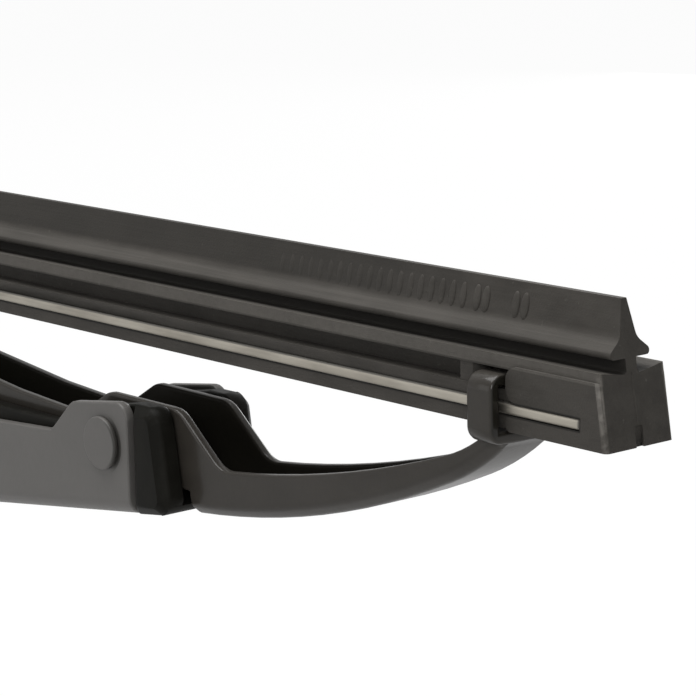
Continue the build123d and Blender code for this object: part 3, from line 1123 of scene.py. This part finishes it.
@dataclass
class BridgeFrame:
    """The main bridge with its rivets, liners and arm tube."""

    bridge_edge: float = 0.20 * MM
    fold_turn: float = math.radians(50.0)
    window_reach: float = 36.0 * MM
    window_level: float = -4.0 * MM
    rivet_edge: float = 0.14 * MM
    liner_edge: float = 0.24 * MM
    tube_edge: float = 0.10 * MM
    pieces: list[bpy.types.Object] = field(default_factory=list)

    def _sheared(self, edge: bmesh.types.BMEdge) -> bool:
        """Tells the sheared edges from the rim of the window, which stays as it was punched."""
        middle = (edge.verts[0].co + edge.verts[1].co) / 2
        return abs(middle.x) > self.window_reach or middle.z > self.window_level

    def build(
        self,
        paint: bpy.types.Material,
        liner: bpy.types.Material,
        plate: bpy.types.Material,
    ) -> None:
        """Makes the frame's pieces.

        Args:
            paint: the bridge's and rivets' paint.
            liner: the liners' plastic.
            plate: the tube's plating.
        """
        self.pieces.append(
            Workshop.shell(
                "main_bridge",
                self.bridge_edge,
                paint,
                "frame",
                "painted_steel",
                Workshop.SQUARE,
                self.fold_turn,
                self._sheared,
            )
        )
        plan = []
        for side in Side:
            plan.append((f"pivot_rivet_{side.word}", self.rivet_edge, paint, "painted_steel"))
            plan.append((f"pivot_liner_{side.word}", self.liner_edge, liner, "liner_plastic"))
        plan.append(("pivot_tube", self.tube_edge, plate, "plated_steel"))
        for node, edge, finish, slot in plan:
            self.pieces.append(Workshop.shell(node, edge, finish, "frame", slot))


@dataclass
class ArmClip:
    """The moulded clip that takes the arm's hook."""

    edge: float = 0.15 * MM
    pieces: list[bpy.types.Object] = field(default_factory=list)

    def build(self, finish: bpy.types.Material) -> None:
        """Makes the clip.

        Args:
            finish: the plastic.
        """
        self.pieces.append(
            Workshop.shell("arm_adapter", self.edge, finish, "adapter", "adapter_plastic")
        )


@dataclass
class Studio:
    """A white sweep, soft lamps and the camera at the photo's place."""

    focal_px: float = 2729.0
    frame_px: float = 696.0
    turn: float = math.radians(50.32)
    tilt: float = math.radians(11.17)
    roll: float = math.radians(1.15)
    eye: Point = (300.14 * MM, -139.56 * MM, 62.41 * MM)
    floor_level: float = -60.0 * MM
    floor_half: float = 6.0
    world_level: float = 0.20

    def build(self) -> None:
        """Makes the floor, the world, the lamps and the camera."""
        self._floor()
        self._world()
        self._lamps()
        self._camera()
        bpy.context.scene.view_settings.view_transform = "Standard"

    def _seen_white(self, sheet: ShaderSheet) -> Sock:
        """One for the rays that show the background itself, and zero for those that light the object."""
        rays = sheet.node("ShaderNodeLightPath")
        seen = sheet.read(rays, "Is Camera Ray") + sheet.read(rays, "Is Glossy Ray")
        return seen + sheet.read(rays, "Is Transmission Ray")

    def _floor(self) -> None:
        """Makes the pale floor."""
        sheet = ShaderSheet(bpy.data.materials.new("pale_floor"))
        seen = self._seen_white(sheet)
        matt = sheet.node("ShaderNodeBsdfDiffuse", None, {"Color": (0.86, 0.86, 0.86, 1.0)})
        white = sheet.node("ShaderNodeEmission", None, {"Color": (1.0, 1.0, 1.0, 1.0)})
        both = sheet.node(
            "ShaderNodeMixShader",
            None,
            {0: 0.96 * seen.smooth(0.0, 1.0), 1: sheet.read(matt, 0), 2: sheet.read(white, 0)},
        )
        sheet.node("ShaderNodeOutputMaterial", None, {"Surface": sheet.read(both, 0)})
        bm = bmesh.new()
        half, level = self.floor_half, self.floor_level
        corners = ((-half, -half), (half, -half), (half, half), (-half, half))
        bm.faces.new([bm.verts.new((x, y, level)) for x, y in corners])
        mesh = bpy.data.meshes.new("floor")
        bm.to_mesh(mesh)
        bm.free()
        mesh.materials.append(sheet.owner)
        floor = bpy.data.objects.new("floor", mesh)
        bpy.context.scene.collection.objects.link(floor)

    def _world(self) -> None:
        """Makes the white surroundings, which light less than they show."""
        world = bpy.data.worlds.new("white_room")
        sheet = ShaderSheet(world)
        seen = self._seen_white(sheet).smooth(0.0, 1.0)
        level = self.world_level + (1.0 - self.world_level) * seen
        back = sheet.node("ShaderNodeBackground", None, {"Strength": level})
        sheet.node("ShaderNodeOutputWorld", None, {"Surface": sheet.read(back, 0)})
        bpy.context.scene.world = world

    def _lamp(self, name: str, place: Point, target: Point, size: float, watts: float) -> None:
        """Hangs one square soft lamp.

        Args:
            name: its name.
            place: where it hangs, in metres.
            target: the point that it looks at.
            size: its side, in metres.
            watts: its power.
        """
        data = bpy.data.lights.new(name, "AREA")
        data.size = size
        data.energy = watts
        lamp = bpy.data.objects.new(name, data)
        lamp.location = place
        lamp.rotation_mode = "QUATERNION"
        lamp.rotation_quaternion = (Vector(target) - Vector(place)).to_track_quat("-Z", "Y")
        bpy.context.scene.collection.objects.link(lamp)

    def _lamps(self) -> None:
        """Hangs the lamps: a large one overhead, one in front, one by the camera and one behind."""
        middle = (0.10, 0.0, 0.01)
        self._lamp("overhead_lamp", (0.0, -0.14, 0.82), middle, 0.70, 10.5)
        self._lamp("front_lamp", (-0.35, -0.80, 0.15), middle, 0.50, 1.0)
        self._lamp("side_lamp", (0.58, -0.42, 0.26), middle, 0.22, 1.5)
        self._lamp("back_lamp", (-0.30, 0.85, 0.12), (0.0, 0.0, 0.01), 0.60, 4.0)

    def _camera(self) -> None:
        """Sets up the camera from the fitted view."""
        right = Vector((math.cos(self.turn), math.sin(self.turn), 0))
        down = Vector(
            (
                math.sin(self.turn) * math.sin(self.tilt),
                -math.cos(self.turn) * math.sin(self.tilt),
                -math.cos(self.tilt),
            )
        )
        right, down = (
            right * math.cos(self.roll) + down * math.sin(self.roll),
            down * math.cos(self.roll) - right * math.sin(self.roll),
        )
        up = -down
        back = right.cross(up)
        data = bpy.data.cameras.new("camera")
        data.sensor_width = 36.0
        data.lens = self.focal_px / self.frame_px * data.sensor_width
        data.clip_start = 0.01
        data.clip_end = 50.0
        camera = bpy.data.objects.new("camera", data)
        turn = Matrix((right, up, back)).transposed().to_4x4()
        camera.matrix_world = Matrix.Translation(self.eye) @ turn
        bpy.context.scene.collection.objects.link(camera)
        bpy.context.scene.camera = camera


def main() -> None:
    """Builds the blade's sub-assemblies in order, then the studio."""
    logging.basicConfig(level=logging.INFO, format="%(name)s: %(message)s")
    bridge_paint = PaintFinish(
        "bridge_paint",
        tone=(0.0690, 0.0658, 0.0621),
        worn=(0.0945, 0.0902, 0.0854),
        inside=4.7 * MM,
        gloss_rough=0.40,
        level=0.26,
    ).material()
    yoke_paint = PaintFinish(
        "yoke_paint",
        tone=(0.0205, 0.0180, 0.0150),
        worn=(0.036, 0.0325, 0.0280),
        inside=2.15 * MM,
        gloss_rough=0.36,
        level=0.04,
        coat=0.32,
    ).material()
    liner = MouldedFinish("liner_black").material()
    clip = MouldedFinish(
        "clip_black", tone=(0.014, 0.014, 0.014), flow=(0.026, 0.026, 0.025), rough=0.42
    ).material()
    flex = FlexLength()
    strip, rails, yokes = WipingStrip(flex), RailPair(flex), YokePair()
    bridge, arm_clip = BridgeFrame(), ArmClip()
    # A paler copy of the rubber for the raised bars.
    raised = RubberFinish(
        "raised_rubber",
        tone=(0.0275, 0.0249, 0.0214),
        bloom=(0.0412, 0.0377, 0.0331),
        film_share=0.55,
    )
    strip.build(RubberFinish().material(), raised.material())
    rails.build(StainlessFinish().material())
    yokes.build(yoke_paint)
    bridge.build(bridge_paint, liner, PlatedFinish().material())
    arm_clip.build(clip)
    for group in (strip, rails, yokes, bridge, arm_clip):
        log.info("%s: %s", type(group).__name__, ", ".join(p.name for p in group.pieces))
    Studio().build()


if __name__ == "__main__":
    main()
